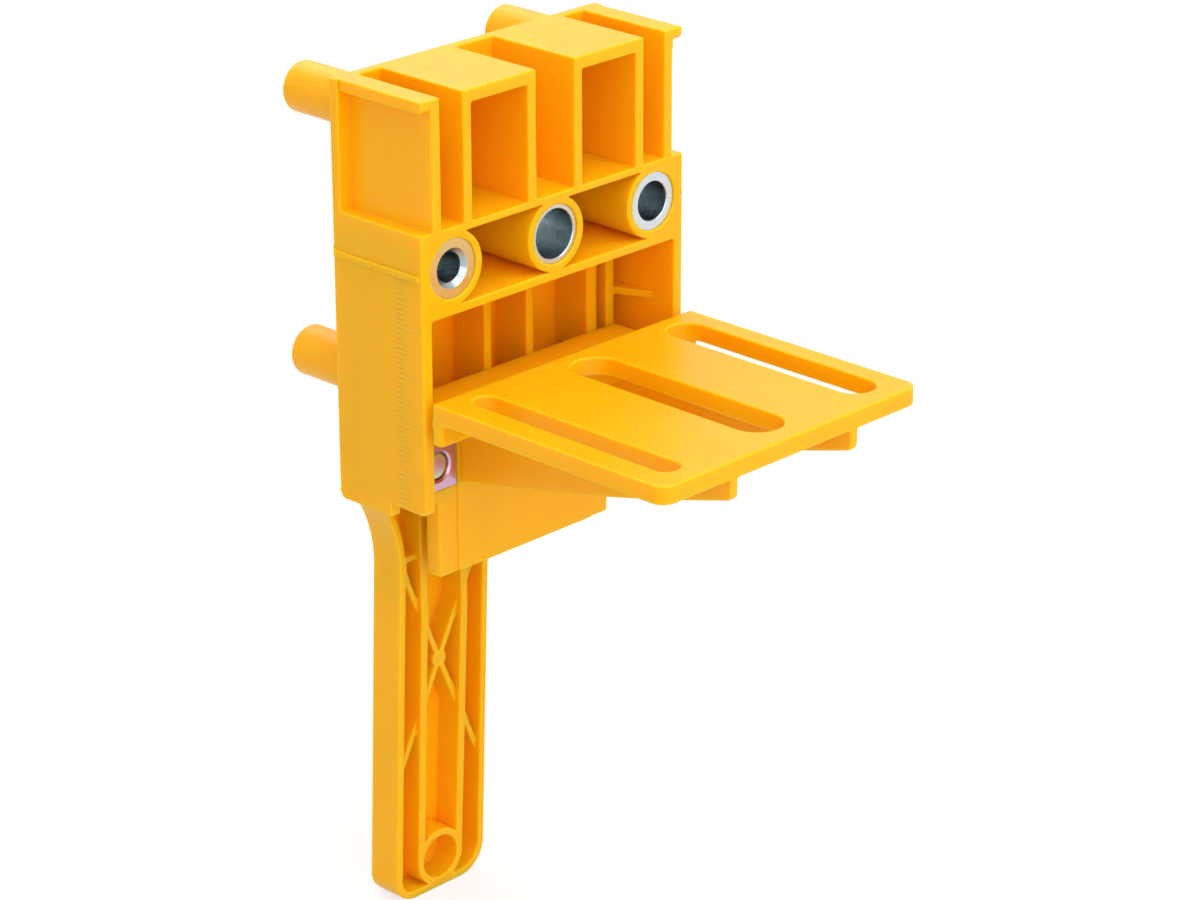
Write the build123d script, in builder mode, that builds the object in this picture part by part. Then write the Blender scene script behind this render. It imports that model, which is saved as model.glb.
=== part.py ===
from build123d import *
import math
import os

os.makedirs("parts", exist_ok=True)

# Dowel jig. Millimetres: X across the jig, +Y from the working face to the back, +Z up.
# The origin is the middle bush's axis where it meets the working face.

# Guide body
BODY_W = 72.0
BODY_D = 24.6
TOP_Z = 34.4
LEDGE_Z = 8.3
BOTTOM_Z = -51.4
WALL = 2.5
BACK_WALL = 2.3
FLOOR = 2.5
FRONT_LIFT = 2.6
FRONT_STEP_Y = 9.9
SHELF = 1.5
LOWER_SHELF_Z = -7.4
LOWER_SHELF = 1.9
PANEL_INSET = 3.15
PANEL_WALL = 2.3
LIP = 2.5
LIP_INSET = 0.5
LIP_R = 1.2
CORNER_R = 0.6
FOOT_R = 1.5
HEEL_R = 1.9
RIDGE_OUT = 0.45
RIDGE_Z = (-0.9, 0.3)
RIDGE_END = 0.6

# Open boxes above the ledge
BOX_INNER_X = 5.2
BOX_OUTER_X = 24.6
BOX_WALL = 2.2
BOX_ROOF = 2.7

# Bushes, named by the bore they guide, with their place, bore and countersink
BUSH_FROM_SIDE = 8.4
PITCH = BODY_W / 2 - BUSH_FROM_SIDE
BUSH_OD = 12.0
BOSS_WALL = 1.6
BUSH_RECESS = 0.5
BORE_CLEAR = 0.05
BUSH_EDGE = 0.25
BUSHES = {
    "drill_bush_6": (-PITCH, 6.0, 1.0),
    "drill_bush_10": (0.0, 10.0, 0.15),
    "drill_bush_8": (PITCH, 8.0, 0.15),
}

# Centring pegs
PEG_FROM_SIDE = 8.8
PEG_AT = BODY_W / 2 - PEG_FROM_SIDE
PEG_D = 10.3
PEG_L = 17.7
PEG_ROUND = 0.8

# Ribs in the lower cavity
MID_RIB_X = 5.85
MID_RIB = 2.0
SLOT_RIB_X = 23.55
SLOT_RIB = 2.9
RAIL_X = 28.85
RAIL = 2.3
BRACE_Z = -22.7
BRACE = 1.6
BRACE_FRONT_Y = 5.0

# Handle
HANDLE_L = 90.4
HANDLE_BOTTOM_Z = BOTTOM_Z - HANDLE_L
HANDLE_NECK_Z = -67.7
HANDLE_NECK_X = (-27.7, -3.2)
HANDLE_END_X = (-30.7, -6.1)
HANDLE_FRONT_Y = 16.6
HANDLE_WALL = 1.6
HANDLE_SKIN = 2.0
HANDLE_END_R = (4.8, 6.8)
HANDLE_ROOT = 0.5
FLARE_R = 28.0
SPINE = 1.8
SPINE_X = (-21.25, -10.2)
SPINE_KNEE_Z = -80.0
RING_X = -18.2
RING_UP = 6.8
RING_Z = HANDLE_BOTTOM_Z + RING_UP
RING_OD = 12.4
RING_WALL = 1.55
CROSS_Y = 17.8
CROSS = 1.3
CROSS_TOP_Z = -66.5
CROSS_LOW_Z = -115.2
CROSS_HUB = 3.8

# Fence
PLATE_TOP_Z = -24.5
PLATE = 3.85
PLATE_BACK_Y = -2.2
PLATE_FRONT_Y = -62.3
PLATE_CORNER = 3.0
SLOT_BACK_Y = -5.7
SLOT_FRONT_Y = -57.6
SLOT_IN = 0.6
SLOTS = ((-PITCH, 5.6), (0.0, 10.5), (PITCH - SLOT_IN, 8.5))
FLANGE = 2.3
FLANGE_R = 1.0
FLANGE_BOTTOM_Z = -33.0
NECK_TOP_Z = -29.5
TONGUE_W = 59.6
TONGUE_Y = 9.3
TONGUE = 3.9
TONGUE_STEP_Z = -52.0
TONGUE_LOW_W = 47.6
TONGUE_BOTTOM_Z = -68.1
GUSSET_X = 16.9
GUSSET = 2.0
GUSSET_R = 1.5
GUSSET_FRONT_Z = -32.4
GUSSET_MID = (-28.9, -41.3)
GUSSET_BACK_Z = -49.2
PAD_W = 37.6
PAD = 0.3

# Lock screws: M6 with square nuts in the fence's tongue
SCREW_FROM_SIDE = 12.2
SCREW_X = BODY_W / 2 - SCREW_FROM_SIDE
SCREW_Z = -44.3
SCREW_D = 6.0
THREAD_CLEAR = 0.05
SCREW_HOLE = 6.5
HEAD_AF = 10.0
HEAD_H = 4.0
WASHER_D = 11.0
WASHER = 1.6
WASHER_HOLE = 6.4
NUT_AF = 10.0
NUT = 3.2
NUT_FIT = 0.05
NUT_SINK = 0.4
SCREW_END = 0.5
SCREW_TIP = 0.5
FENCE_UP = 6.0
FENCE_DOWN = 1.4
SLIDE_GAP = 0.1

HALF = BODY_W / 2
BACK_IN = BODY_D - BACK_WALL
WALL_IN = HALF - WALL
FLOOR_TOP_Z = BOTTOM_Z + FLOOR
RIB_FRONT_Y = TONGUE_Y + TONGUE + SLIDE_GAP
NEAR = 0.01


def rect(x0, x1, y0, y1, mode=Mode.ADD):
    """A rectangle between two corners of the open sketch."""
    with Locations(((x0 + x1) / 2, (y0 + y1) / 2)):
        Rectangle(abs(x1 - x0), abs(y1 - y0), mode=mode)


def face_at(y):
    """The XZ plane at depth y, facing the front."""
    return Plane.XZ.offset(-y)


def edges_along(part, axis, **place):
    """The part's straight edges along an axis whose middle is at the given X, Y or Z."""
    found = part.edges().filter_by(axis)
    return [
        edge for edge in found if all(abs(getattr(edge.center(), k) - v) < NEAR for k, v in place.items())
    ]


def strip_line(points, width):
    """A rib of even width along points of the open sketch, with round joints."""
    for (x0, z0), (x1, z1) in zip(points, points[1:]):
        length = math.hypot(x1 - x0, z1 - z0)
        turn = math.degrees(math.atan2(z1 - z0, x1 - x0))
        with Locations(((x0 + x1) / 2, (z0 + z1) / 2)):
            SlotCenterToCenter(length, width, rotation=turn)


def handle_edge(side, z):
    """X of the handle's left (0) or right (1) outer edge at height z, below the neck."""
    share = (z - HANDLE_NECK_Z) / (HANDLE_BOTTOM_Z - HANDLE_NECK_Z)
    return HANDLE_NECK_X[side] + share * (HANDLE_END_X[side] - HANDLE_NECK_X[side])


def handle_outline(inset):
    """The handle's front outline on the open sketch, moved in by the inset."""
    top = FLOOR_TOP_Z - HANDLE_ROOT
    rise = top - HANDLE_NECK_Z
    radius = FLARE_R + inset
    spread = radius - math.sqrt(radius**2 - rise**2)
    half_spread = radius - math.sqrt(radius**2 - (rise / 2) ** 2)
    corner_left, corner_right = (radius_out - inset for radius_out in HANDLE_END_R)
    bend_left, bend_right = (corner * (1 - math.sqrt(0.5)) for corner in (corner_left, corner_right))
    low = HANDLE_BOTTOM_Z + inset
    left = HANDLE_NECK_X[0] + inset
    right = HANDLE_NECK_X[1] - inset
    end_left = handle_edge(0, low + corner_left) + inset
    end_right = handle_edge(1, low + corner_right) - inset
    with BuildLine() as outline:
        Line((left - spread, top), (right + spread, top))
        ThreePointArc(
            (right + spread, top), (right + half_spread, HANDLE_NECK_Z + rise / 2), (right, HANDLE_NECK_Z)
        )
        Line((right, HANDLE_NECK_Z), (end_right, low + corner_right))
        ThreePointArc(
            (end_right, low + corner_right),
            (end_right - bend_right, low + bend_right),
            (end_right - corner_right, low),
        )
        Line((end_right - corner_right, low), (end_left + corner_left, low))
        ThreePointArc(
            (end_left + corner_left, low),
            (end_left + bend_left, low + bend_left),
            (end_left, low + corner_left),
        )
        Line((end_left, low + corner_left), (left, HANDLE_NECK_Z))
        ThreePointArc(
            (left, HANDLE_NECK_Z), (left - half_spread, HANDLE_NECK_Z + rise / 2), (left - spread, top)
        )
    make_face(outline.edges())


# Guide body: one moulding, drawn as it leaves the mould, along Y
with BuildPart() as guide_body:
    # Back wall
    with BuildSketch(face_at(BODY_D)):
        rect(-HALF, HALF, BOTTOM_Z, TOP_Z)
    extrude(amount=BACK_WALL)

    # Side walls, shelves, boxes, panels, lips and the bosses of the bushes
    with BuildSketch(face_at(BACK_IN)):
        rect(-HALF, HALF, LEDGE_Z - SHELF, LEDGE_Z)
        rect(-HALF + WALL / 2, HALF - WALL / 2, LOWER_SHELF_Z - LOWER_SHELF, LOWER_SHELF_Z)
        for s in (-1, 1):
            panel = HALF - PANEL_INSET
            rect(s * WALL_IN, s * HALF, BOTTOM_Z + FRONT_LIFT, LEDGE_Z)
            rect(s * PITCH, s * (HALF - WALL / 2), LOWER_SHELF_Z - LOWER_SHELF / 2, LEDGE_Z - SHELF / 2)
            rect(s * (panel - PANEL_WALL), s * panel, LEDGE_Z - SHELF, TOP_Z)
            rect(s * (panel - PANEL_WALL), s * (HALF - LIP_INSET), TOP_Z - LIP, TOP_Z)
            rect(s * BOX_INNER_X, s * BOX_OUTER_X, LEDGE_Z - SHELF, TOP_Z)
            box_in = (BOX_INNER_X + BOX_WALL, BOX_OUTER_X - BOX_WALL)
            rect(s * box_in[0], s * box_in[1], LEDGE_Z, TOP_Z - BOX_ROOF, mode=Mode.SUBTRACT)
        with Locations((-PITCH, 0), (0, 0), (PITCH, 0)):
            Circle(BUSH_OD / 2 + BOSS_WALL)
    extrude(amount=BACK_IN)

    # Floor, and the back part of the side walls below the front's lower edge
    with BuildSketch(face_at(BACK_IN)):
        rect(-HALF, HALF, BOTTOM_Z, FLOOR_TOP_Z)
    extrude(amount=BACK_IN - RIB_FRONT_Y)
    with BuildSketch(face_at(BACK_IN)):
        for s in (-1, 1):
            rect(s * WALL_IN, s * HALF, BOTTOM_Z, FLOOR_TOP_Z + FRONT_LIFT)
    extrude(amount=BACK_IN - FRONT_STEP_Y)

    # Ribs and rails that the fence's tongue slides on
    slot_end_z = SCREW_Z + FENCE_UP + SCREW_HOLE / 2
    rib_top_z = LOWER_SHELF_Z - LOWER_SHELF / 2
    with BuildSketch(face_at(BACK_IN)):
        for s in (-1, 1):
            for x, width, low in (
                (MID_RIB_X, MID_RIB, FLOOR_TOP_Z - FLOOR / 2),
                (SLOT_RIB_X, SLOT_RIB, slot_end_z + SLOT_RIB / 2),
                (RAIL_X, RAIL, FLOOR_TOP_Z - FLOOR / 2),
            ):
                rect(s * (x - width / 2), s * (x + width / 2), low, rib_top_z)
    extrude(amount=BACK_IN - RIB_FRONT_Y)

    # Triangular braces between the rails and the side walls, clear of the tongue's edge
    with BuildSketch(Plane.XY.offset(BRACE_Z - BRACE / 2)):
        for s in (-1, 1):
            with BuildLine():
                Polyline(
                    (s * RAIL_X, RIB_FRONT_Y),
                    (s * (RAIL_X + RAIL / 2), RIB_FRONT_Y),
                    (s * WALL_IN, BRACE_FRONT_Y),
                    (s * (WALL_IN + WALL / 2), BRACE_FRONT_Y),
                    (s * (WALL_IN + WALL / 2), BACK_IN),
                    (s * RAIL_X, BACK_IN),
                    close=True,
                )
            make_face()
    extrude(amount=BRACE)

    # Round the corners of the outer shell: the walls' feet, the lips, the front corners and the heel
    fillet(edges_along(guide_body, Axis.X, Y=0, Z=BOTTOM_Z + FRONT_LIFT), FOOT_R)
    fillet(edges_along(guide_body, Axis.X, Y=0, Z=TOP_Z - LIP), LIP_R)
    fillet(edges_along(guide_body, Axis.Z, Y=0, X=-HALF) + edges_along(guide_body, Axis.Z, Y=0, X=HALF), CORNER_R)
    fillet(edges_along(guide_body, Axis.X, Y=BODY_D, Z=BOTTOM_Z), HEEL_R)

    # Zero ridge on both sides, at the height of the bush axes
    with BuildSketch(Plane.XY.offset(RIDGE_Z[0])):
        for s in (-1, 1):
            rect(s * WALL_IN, s * (HALF + RIDGE_OUT), RIDGE_END, BODY_D - RIDGE_END)
    extrude(amount=RIDGE_Z[1] - RIDGE_Z[0])

    # Handle: a tray with its skin at the back
    with BuildSketch(face_at(BODY_D)):
        handle_outline(0)
    extrude(amount=BODY_D - HANDLE_FRONT_Y)
    with BuildSketch(face_at(BODY_D - HANDLE_SKIN)):
        handle_outline(HANDLE_WALL)
        rect(-HALF, HALF, BOTTOM_Z, 0, mode=Mode.SUBTRACT)
    extrude(amount=BODY_D - HANDLE_SKIN - HANDLE_FRONT_Y, mode=Mode.SUBTRACT)

    # The handle's two spines, its ring and its cross
    with BuildSketch(face_at(BODY_D - HANDLE_SKIN)):
        ring_r = RING_OD / 2
        for s, x in zip((-1, 1), SPINE_X):
            end_x = RING_X + s * (ring_r - SPINE / 2)
            strip_line([(x, BOTTOM_Z + FLOOR / 2), (x, SPINE_KNEE_Z), (end_x, RING_Z)], SPINE)
        with Locations((RING_X, RING_Z)):
            Circle(ring_r)
            Circle(ring_r - RING_WALL, mode=Mode.SUBTRACT)
    extrude(amount=BODY_D - HANDLE_SKIN - HANDLE_FRONT_Y)
    with BuildSketch(face_at(BODY_D - HANDLE_SKIN)):
        wall_mid = HANDLE_WALL / 2
        for a, b in ((0, 1), (1, 0)):
            top = (handle_edge(a, CROSS_TOP_Z) + wall_mid * (1 - 2 * a), CROSS_TOP_Z)
            low = (handle_edge(b, CROSS_LOW_Z) + wall_mid * (1 - 2 * b), CROSS_LOW_Z)
            strip_line([top, low], CROSS)
            strip_line([top, (SPINE_X[a], CROSS_TOP_Z)], CROSS)
        hub_z = (CROSS_TOP_Z + CROSS_LOW_Z) / 2
        hub_x = (handle_edge(0, hub_z) + handle_edge(1, hub_z)) / 2
        with Locations((hub_x, hub_z)):
            Circle(CROSS_HUB / 2)
    extrude(amount=BODY_D - HANDLE_SKIN - CROSS_Y)

    # Centring pegs
    with BuildSketch(face_at(BACK_IN)):
        with GridLocations(2 * PEG_AT, 2 * PEG_AT, 2, 2):
            Circle(PEG_D / 2)
    extrude(amount=-(BACK_WALL + PEG_L))
    fillet(guide_body.edges().filter_by(GeomType.CIRCLE).group_by(Axis.Y)[-1], PEG_ROUND)

    # Bores for the bushes and slots for the lock screws
    with BuildSketch(face_at(BODY_D)):
        with Locations((-PITCH, 0), (0, 0), (PITCH, 0)):
            Circle(BUSH_OD / 2)
    extrude(amount=BODY_D, mode=Mode.SUBTRACT)
    with BuildSketch(face_at(BODY_D)):
        travel_mid = SCREW_Z + (FENCE_UP - FENCE_DOWN) / 2
        with Locations((-SCREW_X, travel_mid), (SCREW_X, travel_mid)):
            SlotCenterToCenter(FENCE_UP + FENCE_DOWN, SCREW_HOLE, rotation=90)
    extrude(amount=BODY_D - RIB_FRONT_Y, mode=Mode.SUBTRACT)

guide_body.part.label = "guide_body"
export_step(guide_body.part, "parts/guide_body.step")

# Drill bushes: hardened sleeves pressed into the bosses
for name, (x, bore, mouth) in BUSHES.items():
    inner = x + bore / 2 + BORE_CLEAR
    outer = x + BUSH_OD / 2
    with BuildPart() as bush:
        with BuildSketch():
            with BuildLine():
                Polyline(
                    (inner + mouth, BUSH_RECESS),
                    (outer, BUSH_RECESS),
                    (outer, BODY_D - BUSH_EDGE),
                    (outer - BUSH_EDGE, BODY_D),
                    (inner + BUSH_EDGE, BODY_D),
                    (inner, BODY_D - BUSH_EDGE),
                    (inner, BUSH_RECESS + mouth),
                    close=True,
                )
            make_face()
        revolve(axis=Axis((x, 0, 0), (0, 1, 0)))
    bush.part.label = name
    export_step(bush.part, f"parts/{name}.step")

# Fence: slotted plate, back flange, neck, tongue and two gussets in one moulding
with BuildPart() as fence:
    plate_low_z = PLATE_TOP_Z - PLATE
    with BuildSketch(Plane.XY.offset(plate_low_z)) as plate_face:
        rect(-HALF, HALF, PLATE_FRONT_Y, PLATE_BACK_Y)
        fillet(plate_face.vertices().group_by(Axis.Y)[0], PLATE_CORNER)
        for x, width in SLOTS:
            with Locations((x, (SLOT_BACK_Y + SLOT_FRONT_Y) / 2)):
                SlotOverall(SLOT_BACK_Y - SLOT_FRONT_Y, width, rotation=90, mode=Mode.SUBTRACT)
    extrude(amount=PLATE)

    # Flange along the plate's back edge, and the neck to the tongue
    with BuildSketch(Plane.YZ.offset(-HALF)):
        rect(PLATE_BACK_Y - FLANGE, PLATE_BACK_Y, FLANGE_BOTTOM_Z, PLATE_TOP_Z - PLATE / 2)
    extrude(amount=BODY_W)
    for x in (-HALF, HALF):
        fillet(edges_along(fence, Axis.Z, X=x, Y=PLATE_BACK_Y - FLANGE), FLANGE_R)
    with BuildSketch(Plane.YZ.offset(-TONGUE_W / 2)):
        rect(PLATE_BACK_Y - FLANGE / 2, TONGUE_Y + TONGUE / 2, FLANGE_BOTTOM_Z, NECK_TOP_Z)
    extrude(amount=TONGUE_W)

    # Tongue, with a slightly raised pad in front
    with BuildSketch(face_at(TONGUE_Y + TONGUE)):
        rect(-TONGUE_W / 2, TONGUE_W / 2, TONGUE_STEP_Z, NECK_TOP_Z)
        rect(-TONGUE_LOW_W / 2, TONGUE_LOW_W / 2, TONGUE_BOTTOM_Z, NECK_TOP_Z)
    extrude(amount=TONGUE)
    with BuildSketch(face_at(TONGUE_Y)):
        rect(-PAD_W / 2, PAD_W / 2, TONGUE_BOTTOM_Z, NECK_TOP_Z)
    extrude(amount=PAD)

    # Gussets under the plate, with a bowed lower edge
    for s in (-1, 1):
        with BuildSketch(Plane.YZ.offset(s * GUSSET_X - GUSSET / 2)) as gusset_face:
            with BuildLine():
                front = (PLATE_FRONT_Y, GUSSET_FRONT_Z)
                back = (TONGUE_Y, GUSSET_BACK_Z)
                flange_y = PLATE_BACK_Y - FLANGE / 2
                ThreePointArc(front, GUSSET_MID, back)
                Polyline(
                    back,
                    (TONGUE_Y, (NECK_TOP_Z + FLANGE_BOTTOM_Z) / 2),
                    (flange_y, (NECK_TOP_Z + FLANGE_BOTTOM_Z) / 2),
                    (flange_y, PLATE_TOP_Z - PLATE / 2),
                    (PLATE_FRONT_Y, PLATE_TOP_Z - PLATE / 2),
                    front,
                )
            make_face()
            fillet(gusset_face.vertices().group_by(Axis.X)[0].sort_by(Axis.Y)[0], GUSSET_R)
        extrude(amount=GUSSET)

    # Pockets for the nuts and holes for the screws
    with BuildSketch(face_at(TONGUE_Y + NUT)):
        with Locations((-SCREW_X, SCREW_Z), (SCREW_X, SCREW_Z)):
            Rectangle(NUT_AF + 2 * NUT_FIT, NUT_AF + 2 * NUT_FIT)
    extrude(amount=NUT + PAD, mode=Mode.SUBTRACT)
    with BuildSketch(face_at(TONGUE_Y + TONGUE)):
        with Locations((-SCREW_X, SCREW_Z), (SCREW_X, SCREW_Z)):
            Circle(SCREW_HOLE / 2)
    extrude(amount=TONGUE, mode=Mode.SUBTRACT)

fence.part.label = "fence"
export_step(fence.part, "parts/fence.step")

# Square nuts, captive in the fence's tongue
with BuildPart() as square_nuts:
    with BuildSketch(face_at(TONGUE_Y + NUT)):
        with Locations((-SCREW_X, SCREW_Z), (SCREW_X, SCREW_Z)):
            Rectangle(NUT_AF, NUT_AF)
            Circle(SCREW_D / 2 + THREAD_CLEAR, mode=Mode.SUBTRACT)
    extrude(amount=NUT)
    mouths = square_nuts.edges().filter_by(GeomType.CIRCLE).group_by(Axis.Y)[0]
    chamfer(mouths, NUT_SINK)

square_nuts.part.label = "square_nuts"
export_step(square_nuts.part, "parts/square_nuts.step")

# Lock screws and their washers, clamping the tongue through the back wall
for side, s in (("left", -1), ("right", 1)):
    seat = BODY_D + WASHER
    with BuildPart() as washer:
        with BuildSketch(face_at(seat)):
            with Locations((s * SCREW_X, SCREW_Z)):
                Circle(WASHER_D / 2)
                Circle(WASHER_HOLE / 2, mode=Mode.SUBTRACT)
        extrude(amount=WASHER)
    washer.part.label = f"washer_{side}"
    export_step(washer.part, f"parts/washer_{side}.step")

    with BuildPart() as lock_screw:
        with BuildSketch(face_at(seat + HEAD_H)):
            with Locations((s * SCREW_X, SCREW_Z)):
                RegularPolygon(HEAD_AF / 2, 6, major_radius=False)
        extrude(amount=HEAD_H)
        with BuildSketch(face_at(seat)):
            with Locations((s * SCREW_X, SCREW_Z)):
                Circle(SCREW_D / 2)
        extrude(amount=seat - TONGUE_Y - SCREW_END)
        tip = lock_screw.edges().filter_by(GeomType.CIRCLE).group_by(Axis.Y)[0]
        chamfer(tip, SCREW_TIP)
    lock_screw.part.label = f"lock_screw_{side}"
    export_step(lock_screw.part, f"parts/lock_screw_{side}.step")
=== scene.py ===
import math

import bmesh
import bpy
from mathutils import Matrix, Vector
from mathutils.bvhtree import BVHTree
from mathutils.geometry import delaunay_2d_cdt


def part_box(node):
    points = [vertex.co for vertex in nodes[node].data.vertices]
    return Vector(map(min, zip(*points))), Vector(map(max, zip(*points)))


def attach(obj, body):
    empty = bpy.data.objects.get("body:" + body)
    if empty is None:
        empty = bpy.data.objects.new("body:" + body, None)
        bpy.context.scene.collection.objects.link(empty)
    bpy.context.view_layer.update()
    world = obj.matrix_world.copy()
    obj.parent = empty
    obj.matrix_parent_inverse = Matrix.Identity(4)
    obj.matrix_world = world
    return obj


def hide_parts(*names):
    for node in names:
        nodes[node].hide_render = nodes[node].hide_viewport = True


MM = 0.001

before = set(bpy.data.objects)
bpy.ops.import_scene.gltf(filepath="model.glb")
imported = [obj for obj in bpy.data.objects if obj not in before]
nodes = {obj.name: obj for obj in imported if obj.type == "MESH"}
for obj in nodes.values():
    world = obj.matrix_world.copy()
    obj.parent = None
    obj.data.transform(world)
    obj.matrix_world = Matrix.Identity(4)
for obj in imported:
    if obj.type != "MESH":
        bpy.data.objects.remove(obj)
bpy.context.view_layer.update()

# Colours, linear
PLASTIC = (0.985, 0.450, 0.002, 1)
PLASTIC_PALE = (0.990, 0.480, 0.004, 1)
# The raised bars' plastic: the wall's yellow made paler, a painted highlight for the light the bars catch
LINE_PLASTIC_HIGHLIGHT = (0.88, 0.48, 0.030, 1)
LINE_PLASTIC_HIGHLIGHT_PALE = (0.92, 0.54, 0.050, 1)
# Painted reflections on the sleeves' front rings: warm surroundings on the 6 mm sleeve, dull on the 10 mm
# one, pale on the 8 mm one
WARM_RING_REFLECTION = (0.72, 0.58, 0.30, 1)
DULL_RING_REFLECTION = (0.64, 0.60, 0.50, 1)
PALE_RING_REFLECTION = (0.66, 0.69, 0.71, 1)
STEEL = (0.52, 0.59, 0.61, 1)
STEEL_DARK = (0.28, 0.35, 0.37, 1)
ZINC_PINK = (0.60, 0.38, 0.50, 1)
ZINC_VIOLET = (0.50, 0.36, 0.54, 1)
ZINC_GOLD = (0.66, 0.54, 0.30, 1)
ZINC_GREEN = (0.50, 0.58, 0.36, 1)
WHITE = (1, 1, 1, 1)

# Tints of the zinc plating along a ramp from 0 to 1
NUT_TINTS = ((0.0, ZINC_VIOLET), (0.5, ZINC_PINK))
SCREW_TINTS = ((0.3, ZINC_PINK), (0.5, ZINC_GREEN), (0.64, ZINC_GREEN), (0.72, ZINC_GOLD))

# Sleeves, in millimetres: bore, place along X, width of the cone at the mouth, and the painted reflection
# on the front ring, a flat colour that copies how the ring reflects its surroundings
BUSH_PITCH = 27.6
SLEEVES = (
    (6, -BUSH_PITCH, 1.0, WARM_RING_REFLECTION),
    (10, 0.0, 0.15, DULL_RING_REFLECTION),
    (8, BUSH_PITCH, 0.15, PALE_RING_REFLECTION),
)
# How far the front ring's painted reflection takes to fade in, in millimetres
RING_BLEND = 0.05

# Locking screws, in millimetres: their axes, and the reach of the tints on their ends, outward and along Y
SCREWS = {"left": -23.8, "right": 23.8}
SCREW_Z = -44.3
TINTS_R = 4
TINTS_END_Y = (15, 16)

# Widths of the rounded edges, in millimetres: the wide ones, then what fits where those don't
BODY_EDGES = (0.35, 0.12)
FENCE_EDGES = (0.4, 0.1)
SLEEVE_EDGES = (0.12,)
NUT_EDGES = (0.08,)
SCREW_EDGES = (0.2,)

# Scale on the left side wall, in millimetres. A bar's crest is narrower and shorter than its foot
WALL_X = -36.0
TICK_TOP_Z = -1.0
TICKS = 48
TICK_BACK_Y = 7.6
TICK_FRONT_Y = {1: 5.5, 5: 3.8, 10: 0.6}
TICK_WIDE = 0.28
TICK_SUNK = 0.02
TICK_OUT = 0.10
CREST_SHARE = 0.3
CREST_INSET = 0.1

# How the edges are rounded. Lengths in millimetres, areas in square millimetres
SAME_PLACE = 0.002  # vertices this close are one
SAME_POINT = 1e-6  # points this close on a region's plane are one
FLAT = math.radians(0.3)  # faces of a flat region turn by less than this
SHARP = math.radians(38)  # edges that turn by more than this are rounded
TILE = 3.0  # size of the new triangles
TILE_CLEAR = 0.4  # how far extra points keep from the corners of a border, in tiles
ROOM = 2.25  # room that an edge needs beside it, in widths of its rounding
ROOM_AT = (0.15, 0.5, 0.85)  # where along the edge that room is measured
SEGMENTS = 2  # faces across a rounded edge
ATTEMPTS = 2
TIGHT = 2.2  # edges this close to a place that came out wrong stay sharp
SPECK = 0.003  # faces smaller than this are not tested

# Least agreement of two normals: of a face with its region or with the old skin, of shading with its face
LEVEL = 0.9
OUTWARD = 0.1
FACING = 0.5

# Numbers for faces that belong to no flat region
STRIP = -1
BLANK = -2

# Camera, from the fit of the photograph
CAMERA_AT = (-0.5098, -0.5041, 0.2476)
CAMERA_AZIMUTH = 45.99
CAMERA_ELEVATION = 22.21
CAMERA_ROLL = -0.09
CAMERA_LENS = 117.3

# Floor: height and radius in metres, how much of its white is its own, and its tone for the light it gives
FLOOR_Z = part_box("guide_body")[0][2]
FLOOR_R = 3.0
FLOOR_GLOW = 0.72
FLOOR_TONE = 0.6

# Light: strength of the world, and each lamp's name, place, size in metres and power in watts
WORLD_STRENGTH = 0.76
LAMPS_AIM = (0, 0, -0.04)
LAMPS = (
    ("top", (-0.05, -0.40, 0.88), 0.9, 5.2),
    ("left", (-0.6, -0.85, 0.28), 0.8, 2.7),
    ("front", (0.1, -1.05, 0.2), 0.8, 1.2),
    ("back", (0.30, 0.75, 0.65), 0.8, 3.0),
)


class Nodes:
    """The nodes of a material or of the world, with short calls to add and join them."""

    def __init__(self, owner):
        owner.use_nodes = True
        self.owner = owner
        self.tree = owner.node_tree

    def fill(self, node, inputs):
        """Sets inputs of a node, each to a plain value or to the output of another node."""
        for key, value in inputs.items():
            if isinstance(value, bpy.types.NodeSocket):
                self.tree.links.new(value, node.inputs[key])
            else:
                node.inputs[key].default_value = value

    def add(self, kind, inputs=None, **settings):
        node = self.tree.nodes.new("ShaderNode" + kind)
        for name, value in settings.items():
            setattr(node, name, value)
        self.fill(node, inputs or {})
        return node

    def noise(self, place, scale, detail=2.0, rough=0.5):
        inputs = {"Vector": place, "Scale": scale, "Detail": detail, "Roughness": rough}
        return self.add("TexNoise", inputs).outputs["Fac"]

    def ramp(self, factor, stops):
        """The colour at a factor, from stops that give places and their colours."""
        node = self.add("ValToRGB", {"Fac": factor})
        elements = node.color_ramp.elements
        while len(elements) < len(stops):
            elements.new(0.5)
        for element, (place, colour) in zip(elements, stops):
            element.position = place
            element.color = colour
        return node.outputs["Color"]

    def spread(self, factor, low, high, from_low=0.3, from_high=0.7):
        """The factor, with its range from_low to from_high stretched to low and high."""
        ranges = {"From Min": from_low, "From Max": from_high, "To Min": low, "To Max": high}
        return self.add("MapRange", {"Value": factor, **ranges}).outputs["Result"]

    def larger(self, first, second):
        return self.add("Math", {0: first, 1: second}, operation="MAXIMUM").outputs["Value"]

    def mix(self, factor, first, second):
        """A blend of two colours."""
        return self.add("Mix", {0: factor, 6: first, 7: second}, data_type="RGBA").outputs[2]

    def bump(self, height, strength, distance, below=None):
        """A normal for a height, on top of the normal below where there is one."""
        inputs = {"Height": height, "Strength": strength, "Distance": distance}
        if below is not None:
            inputs["Normal"] = below
        return self.add("Bump", inputs).outputs["Normal"]

    def radius(self, place, axis_x, axis_z=0.0):
        """The distance from an axis along Y, and the place along it."""
        moved = self.add("Mapping", {"Vector": place, "Location": (-axis_x, 0, -axis_z)})
        parts = self.add("SeparateXYZ", {"Vector": moved.outputs["Vector"]}).outputs
        flat = self.add("CombineXYZ", {"X": parts["X"], "Z": parts["Z"]})
        length = self.add("VectorMath", {0: flat.outputs["Vector"]}, operation="LENGTH")
        return length.outputs["Value"], parts["Y"]

    def rays(self, *kinds):
        """1 for rays of the given kinds, 0 for the others."""
        path = self.add("LightPath")
        found = path.outputs[kinds[0]]
        for kind in kinds[1:]:
            found = self.larger(found, path.outputs[kind])
        return found


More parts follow.
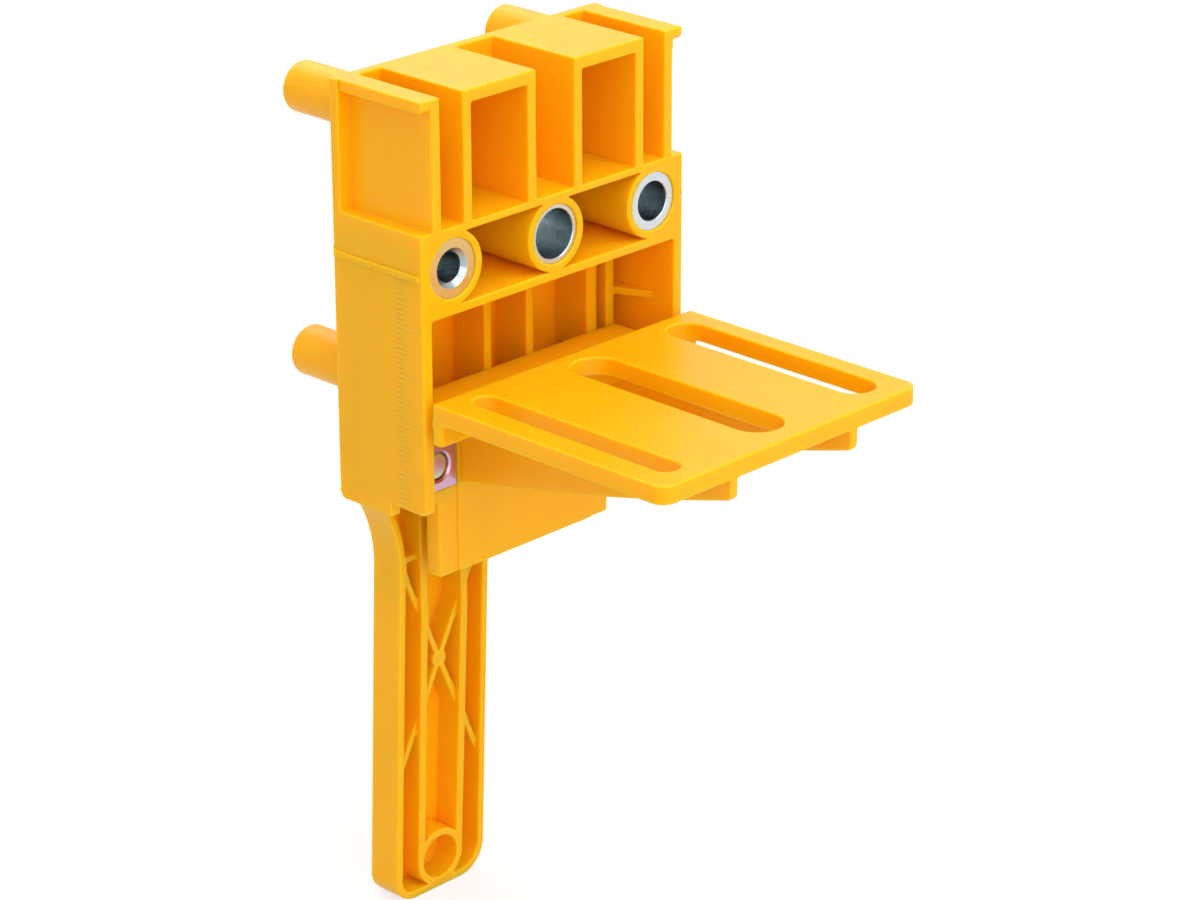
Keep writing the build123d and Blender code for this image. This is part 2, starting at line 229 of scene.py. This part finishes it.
def new_material(name):
    """The nodes of a new material, and its shader."""
    n = Nodes(bpy.data.materials.new(name))
    return n, n.tree.nodes["Principled BSDF"]


def plastic(name, tones, scatter):
    """Satin yellow plastic: slow changes of tone, faint flow marks, a fine moulded grain."""
    n, shader = new_material(name)
    place = n.add("TexCoord").outputs["Object"]
    stretched = n.add("Mapping", {"Vector": place, "Scale": (60, 60, 14)}).outputs["Vector"]
    slow = n.noise(place, scale=28, detail=3)
    flow = n.noise(stretched, scale=1.0, detail=4, rough=0.6)
    waves = n.noise(place, scale=170)
    grain = n.noise(place, scale=2600, detail=3, rough=0.6)
    both = n.add("Math", {0: slow, 1: flow}, operation="ADD").outputs["Value"]
    tone = n.spread(both, 0, 1, from_low=0.75, from_high=1.25)
    soft = n.bump(waves, strength=0.10, distance=0.3 * MM)
    n.fill(shader, {
        "Base Color": n.ramp(tone, ((0.0, tones[0]), (1.0, tones[1]))),
        "Roughness": n.spread(flow, 0.30, 0.40),
        "Normal": n.bump(grain, strength=0.16, distance=0.04 * MM, below=soft),
        "Subsurface Weight": scatter,
        "Subsurface Radius": (1.0, 0.45, 0.08),
        "Subsurface Scale": 4.0 * MM,
        "IOR": 1.5,
        "Specular IOR Level": 0.2,
    })
    return n.owner


def steel(name, axis_x, ring, ring_from):
    """Plated steel with turning marks round an axis, and a painted reflection, one flat colour, beyond the
    radius ring_from.
    """
    n, shader = new_material(name)
    place = n.add("TexCoord").outputs["Object"]
    radius, along = n.radius(place, axis_x)
    turned = n.add("CombineXYZ", {"X": radius, "Y": along}).outputs["Vector"]
    marks = n.noise(turned, scale=3800, detail=3, rough=0.6)
    stain = n.noise(place, scale=420, detail=4, rough=0.65)
    both = n.add("Math", {0: marks, 1: 0.4, 2: stain}, operation="MULTIPLY_ADD").outputs["Value"]
    tone = n.spread(both, 0, 1, from_low=0.4, from_high=1.0)
    bare = n.ramp(tone, ((0.0, STEEL_DARK), (1.0, STEEL)))
    # Beyond ring_from the painted reflection takes the place of the bare steel's colour
    ring_reflection_mask = n.spread(radius, 0, 1, from_low=ring_from, from_high=ring_from + RING_BLEND * MM)
    soft = n.bump(stain, strength=0.15, distance=0.05 * MM)
    n.fill(shader, {
        "Base Color": n.mix(ring_reflection_mask, bare, ring),
        "Roughness": n.spread(stain, 0.20, 0.38),
        "Normal": n.bump(marks, strength=0.35, distance=0.02 * MM, below=soft),
        "Metallic": 1.0,
    })
    return n.owner


def zinc(name, stops, axis_x=None):
    """Yellow zinc plating. Its tints change from place to place, or outward on the end of a screw."""
    n, shader = new_material(name)
    place = n.add("TexCoord").outputs["Object"]
    if axis_x is None:
        factor = n.spread(n.noise(place, scale=260), 0, 1)
    else:
        radius, along = n.radius(place, axis_x, SCREW_Z * MM)
        start, end = TINTS_END_Y
        outward = n.spread(radius, 0, 1, from_low=0, from_high=TINTS_R * MM)
        behind = n.spread(along, 0, 1, from_low=start * MM, from_high=end * MM)
        factor = n.larger(outward, behind)
    fine = n.noise(place, scale=2400, detail=4, rough=0.6)
    n.fill(shader, {
        "Base Color": n.ramp(factor, stops),
        "Roughness": n.spread(fine, 0.28, 0.44),
        "Normal": n.bump(fine, strength=0.25, distance=0.03 * MM),
        "Metallic": 1.0,
    })
    return n.owner


class Region:
    """A flat region of a mesh, with its border drawn on its plane in millimetres."""

    def __init__(self, number, normal, faces):
        own = set(faces)
        edges = dict.fromkeys(e for f in faces for e in f.edges)
        border = [e for e in edges if sum(f in own for f in e.link_faces) == 1]
        self.number = number
        self.normal = normal
        self.faces = faces
        self.border = border
        self.verts = list(dict.fromkeys(v for e in border for v in e.verts))
        self.across = normal.orthogonal().normalized()
        self.up = normal.cross(self.across)
        self.height = sum(v.co.dot(normal) for v in self.verts) / len(self.verts)
        self.flat = [Vector((v.co.dot(self.across), v.co.dot(self.up))) / MM for v in self.verts]
        order = {v: i for i, v in enumerate(self.verts)}
        self.lines = [(order[e.verts[0]], order[e.verts[1]]) for e in border]
        self.walls = [(self.flat[a], self.flat[b]) for a, b in self.lines]

    def lift(self, point):
        """A point of the drawing, back in the mesh."""
        return (self.across * point.x + self.up * point.y) * MM + self.normal * self.height

    def grid(self):
        """Points inside the region in rows, clear of the corners of its border."""
        found = []
        low = min(p.y for p in self.flat)
        high = max(p.y for p in self.flat)
        for row in range(int((high - low) / TILE)):
            y = low + (row + 0.5) * TILE
            crosses = sorted(a.x + (y - a.y) * (b.x - a.x) / (b.y - a.y)
                             for a, b in self.walls if (a.y > y) != (b.y > y))
            for start, end in zip(crosses[::2], crosses[1::2]):
                count = int((end - start) / TILE)
                for i in range(count):
                    point = Vector((start + (end - start) * (i + 1) / (count + 1), y))
                    if all((p - point).length > TILE_CLEAR * TILE for p in self.flat):
                        found.append(point)
        return found

    def room(self, index):
        """How far the region reaches straight in from one of its border edges."""
        a, b = self.walls[index]
        along = b - a
        inward = Vector((-along.y, along.x)).normalized()
        least = math.inf
        for share in ROOM_AT:
            start = a + along * share
            ahead = []
            behind = []
            for k, (c, d) in enumerate(self.walls):
                span = d - c
                gap = c - start
                cross = inward.cross(span)
                if k != index and cross and 0 <= gap.cross(inward) / cross <= 1:
                    reach = gap.cross(span) / cross
                    side = ahead if reach > 0 else behind
                    side.append(abs(reach))
            least = min([least] + (ahead if len(ahead) % 2 else behind))
        return least

    def tiles(self, extra):
        """New triangles from the border and extra points, or the places where the border crosses itself."""
        made = delaunay_2d_cdt(self.flat + extra, self.lines, [], 0, SAME_POINT)
        points, _, triangles, sources = made[:4]
        crossings = [self.lift(p) for p, source in zip(points, sources) if len(source) != 1]
        if crossings:
            return [], crossings
        triangles = [tuple(sources[i][0] for i in t) for t in triangles]
        return inside(triangles, {frozenset(line) for line in self.lines}), []


def sides_of(triangle):
    return [frozenset(pair) for pair in zip(triangle, triangle[1:] + triangle[:1])]


def inside(triangles, border):
    """The triangles inside a border, found from the outer ones by counting steps across it."""
    owners = {}
    for t in triangles:
        for side in sides_of(t):
            owners.setdefault(side, []).append(t)
    kept = {own[0]: side in border for side, own in owners.items() if len(own) == 1}
    stack = list(kept)
    while stack:
        t = stack.pop()
        for side in sides_of(t):
            for near in owners[side]:
                if near not in kept:
                    kept[near] = kept[t] != (side in border)
                    stack.append(near)
    return [t for t in triangles if kept.get(t)]


def welded(mesh):
    """A mesh as one skin, its sharp edges cut into short pieces."""
    bm = bmesh.new()
    bm.from_mesh(mesh)
    bmesh.ops.remove_doubles(bm, verts=bm.verts, dist=SAME_PLACE * MM)
    bmesh.ops.dissolve_degenerate(bm, edges=bm.edges, dist=SAME_PLACE / 2 * MM)
    bm.normal_update()
    for edge in [e for e in bm.edges if e.calc_face_angle(0) > SHARP]:
        start = edge.verts[0]
        for i in range(int(edge.calc_length() / TILE / MM), 0, -1):
            _, vert = bmesh.utils.edge_split(edge, start, i / (i + 1))
            edge = next(e for e in vert.link_edges if start in e.verts)
    bmesh.ops.triangulate(bm, faces=bm.faces)
    bm.normal_update()
    return bm


def number_planes(bm):
    """Numbers the faces of each flat region in a layer, and gives the regions' normals and areas."""
    plane = bm.faces.layers.int.new("plane")
    for face in bm.faces:
        face[plane] = BLANK
    normals = []
    areas = []
    for seed in sorted(bm.faces, key=lambda face: -face.calc_area()):
        if seed[plane] == BLANK:
            seed[plane] = len(normals)
            members = [seed]
            for face in members:
                for near in [f for e in face.edges for f in e.link_faces]:
                    if near[plane] == BLANK and near.normal.angle(seed.normal, 0) < FLAT:
                        near[plane] = seed[plane]
                        members.append(near)
            normals.append(seed.normal.copy())
            areas.append(sum(f.calc_area() for f in members))
    return normals, areas


def regions_of(bm, normals):
    """The flat regions of a mesh whose faces are numbered."""
    plane = bm.faces.layers.int["plane"]
    groups = {}
    for face in bm.faces:
        if face[plane] != STRIP:
            groups.setdefault(face[plane], []).append(face)
    return [Region(number, normals[number], faces) for number, faces in groups.items()]


def retile(bm, regions, even):
    """Gives regions new triangles, even ones on request; tells where a border crosses itself."""
    old = []
    new = []
    crossings = []
    for region in regions:
        extra = region.grid() if even else []
        found, crossed = region.tiles(extra)
        crossings += crossed
        if found:
            old += region.faces
            new.append((region, found, extra))
    bmesh.ops.delete(bm, geom=old, context="FACES_ONLY")
    plane = bm.faces.layers.int["plane"]
    for region, found, extra in new:
        verts = region.verts + [bm.verts.new(region.lift(p)) for p in extra]
        for tile in found:
            corners = [verts[i] for i in tile]
            if not bm.faces.get(corners):
                bm.faces.new(corners)[plane] = region.number
    bmesh.ops.delete(bm, geom=[e for e in bm.edges if not e.link_faces], context="EDGES")
    bmesh.ops.delete(bm, geom=[v for v in bm.verts if not v.link_edges], context="VERTS")
    bm.normal_update()
    return crossings


def is_clear(edge, places):
    """Whether an edge lies away from all the given places."""
    middle = (edge.verts[0].co + edge.verts[1].co) / 2
    return all((middle - place).length > TIGHT * MM for place in places)


def round_edges(bm, normals, width, tight):
    """Rounds the sharp edges that have room for it and lie away from the tight places."""
    plane = bm.faces.layers.int["plane"]
    sharp = {e for e in bm.edges if e.calc_face_angle(0) > SHARP
             and all(f[plane] != STRIP for v in e.verts for f in v.link_faces)}
    for region in regions_of(bm, normals):
        for i, edge in enumerate(region.border):
            if edge in sharp and region.room(i) < ROOM * width:
                sharp.remove(edge)
    chosen = [e for e in bm.edges if e in sharp and is_clear(e, tight)]
    made = bmesh.ops.bevel(bm, geom=chosen, offset=width * MM, offset_type="OFFSET", segments=SEGMENTS,
                           profile=0.5, affect="EDGES", clamp_overlap=False, loop_slide=False,
                           material=-1, miter_outer="ARC")
    plane = bm.faces.layers.int["plane"]
    for face in made["faces"]:
        face[plane] = STRIP
    bm.normal_update()


def is_bent(region):
    """Whether rounding left a region with tilted faces, or with faces of many corners."""
    return len(region.faces) > 2 and any(
        len(f.verts) > 4 or f.normal.dot(region.normal) < LEVEL for f in region.faces)


def rounded(mesh, widths, tight):
    """A copy of a mesh with rounded edges, its regions' areas, and the places that came out wrong."""
    bm = welded(mesh)
    normals, areas = number_planes(bm)
    skin = BVHTree.FromBMesh(bm)
    retile(bm, [r for r in regions_of(bm, normals) if len(r.faces) > 2], even=True)
    for width in widths:
        round_edges(bm, normals, width, tight)
    wrong = retile(bm, [r for r in regions_of(bm, normals) if is_bent(r)], even=False)
    for face in bm.faces:
        middle = face.calc_center_median()
        outward = skin.find_nearest(middle)[1]
        if face.calc_area() > SPECK * MM**2 and face.normal.dot(outward) < OUTWARD:
            wrong.append(middle)
    return bm, areas, wrong


def surfaces_at(vert, plane, areas):
    """The smooth surfaces that meet at a vertex: their faces, and one normal each."""
    found = []
    left = [f for f in vert.link_faces if f[plane] != STRIP]
    while left:
        members = [left.pop()]
        for face in members:
            for edge in face.edges:
                if vert in edge.verts and edge.calc_face_angle(0) < SHARP:
                    near = [f for f in left if f in edge.link_faces]
                    left = [f for f in left if f not in near]
                    members += near
        normal = sum((f.normal * areas[f[plane]] for f in members), Vector())
        found.append((set(members), normal.normalized()))
    return found


def shading(bm, areas):
    """The normal of each face corner: flat on flat regions, turning evenly across the rounded edges."""
    plane = bm.faces.layers.int["plane"]
    meeting = {v: surfaces_at(v, plane, areas) for v in bm.verts}
    normals = []
    for face in bm.faces:
        for vert in face.verts:
            surfaces = meeting[vert]
            if face[plane] != STRIP:
                normal = next(n for members, n in surfaces if face in members)
            elif surfaces:
                normal = max((n for _, n in surfaces), key=face.normal.dot)
            else:
                around = sum((f.normal * f.calc_area() for f in vert.link_faces), Vector())
                normal = around.normalized()
            normals.append(normal if normal.dot(face.normal) > FACING else face.normal.copy())
    return normals


def mesh_object(name, bm, material):
    mesh = bpy.data.meshes.new(name)
    bm.to_mesh(mesh)
    bm.free()
    mesh.materials.append(material)
    o = bpy.data.objects.new(name, mesh)
    bpy.context.scene.collection.objects.link(o)
    return o


def dress(node, material, widths, body="body"):
    """Puts a copy with rounded edges in the place of a node. Edges near wrong places are left sharp."""
    tight = []
    for _ in range(ATTEMPTS):
        bm, areas, wrong = rounded(nodes[node].data, widths, tight)
        tight += wrong
        if not wrong:
            break
    normals = shading(bm, areas)
    o = mesh_object(node + "_rounded", bm, material)
    for face in o.data.polygons:
        face.use_smooth = True
    o.data.normals_split_custom_set(normals)
    o.matrix_world = nodes[node].matrix_world
    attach(o, body)
    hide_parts(node)


def tick_outline(bm, x, back, front, z, half):
    """The four corners of a bar's foot or crest."""
    corners = ((back, z - half), (front, z - half), (front, z + half), (back, z + half))
    return [bm.verts.new((x * MM, y * MM, h * MM)) for y, h in corners]


def scale_lines(material):
    """The raised graduations on the left side wall: one bar a millimetre, longer at 5 and 10."""
    bm = bmesh.new()
    half = TICK_WIDE / 2
    for i in range(TICKS):
        z = TICK_TOP_Z - i
        front = TICK_FRONT_Y[max(step for step in TICK_FRONT_Y if i % step == 0)]
        low = tick_outline(bm, WALL_X + TICK_SUNK, TICK_BACK_Y, front, z, half)
        high = tick_outline(bm, WALL_X - TICK_OUT, TICK_BACK_Y - CREST_INSET, front + CREST_INSET,
                            z, CREST_SHARE * half)
        bm.faces.new(low)
        bm.faces.new(high[::-1])
        for a in range(4):
            b = (a + 1) % 4
            bm.faces.new((low[b], low[a], high[a], high[b]))
    bmesh.ops.recalc_face_normals(bm, faces=bm.faces)
    o = mesh_object("scale_lines", bm, material)
    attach(o, "body")


def stage_floor():
    """A white floor that keeps the object's soft shadow."""
    n, shader = new_material("floor_white")
    seen = n.rays("Is Camera Ray", "Is Glossy Ray")
    share = n.add("Math", {0: seen, 1: FLOOR_GLOW}, operation="MULTIPLY").outputs["Value"]
    n.fill(shader, {
        "Base Color": n.spread(seen, FLOOR_TONE, 1.0, from_low=0, from_high=1),
        "Roughness": 0.9,
    })
    glow = n.add("Emission", {"Strength": 1.0})
    mix = n.add("MixShader", {0: share, 1: shader.outputs["BSDF"], 2: glow.outputs["Emission"]})
    n.fill(n.tree.nodes["Material Output"], {"Surface": mix.outputs["Shader"]})
    bm = bmesh.new()
    bmesh.ops.create_circle(bm, cap_ends=True, segments=96, radius=FLOOR_R)
    o = mesh_object("floor", bm, n.owner)
    o.location = (0, 0, FLOOR_Z)


def world_light():
    """White to the eye, and a plain soft light on everything else."""
    world = bpy.data.worlds.new("studio")
    bpy.context.scene.world = world
    n = Nodes(world)
    seen = n.rays("Is Camera Ray", "Is Glossy Ray", "Is Transmission Ray")
    level = n.spread(seen, WORLD_STRENGTH, 1.0, from_low=0, from_high=1)
    n.fill(n.tree.nodes["Background"], {"Color": WHITE, "Strength": level})


def lamp(name, at, size, power):
    """A round lamp that points at the object."""
    data = bpy.data.lights.new(name, "AREA")
    data.shape = "DISK"
    data.size = size
    data.energy = power
    o = bpy.data.objects.new(name, data)
    bpy.context.scene.collection.objects.link(o)
    o.location = at
    o.rotation_mode = "QUATERNION"
    o.rotation_quaternion = (Vector(LAMPS_AIM) - Vector(at)).to_track_quat("-Z", "Y")


def camera():
    """The camera at the photograph's viewing angle."""
    data = bpy.data.cameras.new("camera")
    data.sensor_width = 36
    data.lens = CAMERA_LENS
    data.clip_start = 0.01
    data.clip_end = 20
    o = bpy.data.objects.new("camera", data)
    bpy.context.scene.collection.objects.link(o)
    bpy.context.scene.camera = o
    o.rotation_mode = "QUATERNION"
    turn = (Matrix.Rotation(math.radians(-CAMERA_AZIMUTH), 4, "Z")
            @ Matrix.Rotation(math.radians(90 - CAMERA_ELEVATION), 4, "X")
            @ Matrix.Rotation(math.radians(CAMERA_ROLL), 4, "Z"))
    o.rotation_quaternion = turn.to_quaternion()
    o.location = CAMERA_AT


yellow = plastic("yellow_plastic", (PLASTIC, PLASTIC_PALE), scatter=1.0)
nut_zinc = zinc("violet_zinc", NUT_TINTS)
dress("guide_body", yellow, BODY_EDGES)
dress("fence", yellow, FENCE_EDGES, body="fence")
for bore, x, cone, ring in SLEEVES:
    # Each sleeve's steel carries the painted reflection of its own front ring
    bush_steel = steel(f"turned_steel_{bore}", x * MM, ring, ring_from=(bore / 2 + cone) * MM)
    dress(f"drill_bush_{bore}", bush_steel, SLEEVE_EDGES)
dress("square_nuts", nut_zinc, NUT_EDGES, body="fence")
for side in SCREWS:
    washer = f"washer_{side}"
    dress(washer, nut_zinc, NUT_EDGES, body=washer)
for side, x in SCREWS.items():
    screw = f"lock_screw_{side}"
    screw_zinc = zinc(f"green_zinc_{side}", SCREW_TINTS, x * MM)
    dress(screw, screw_zinc, SCREW_EDGES, body=screw)
# The bars get a paler plastic without scattering; its paler tone is painted highlight
scale_lines(plastic("raised_lines_painted_highlight", (LINE_PLASTIC_HIGHLIGHT, LINE_PLASTIC_HIGHLIGHT_PALE), scatter=0.0))

stage_floor()
world_light()
for name, place, size, power in LAMPS:
    lamp(name, place, size, power)
camera()

bpy.context.scene.view_settings.view_transform = "Standard"
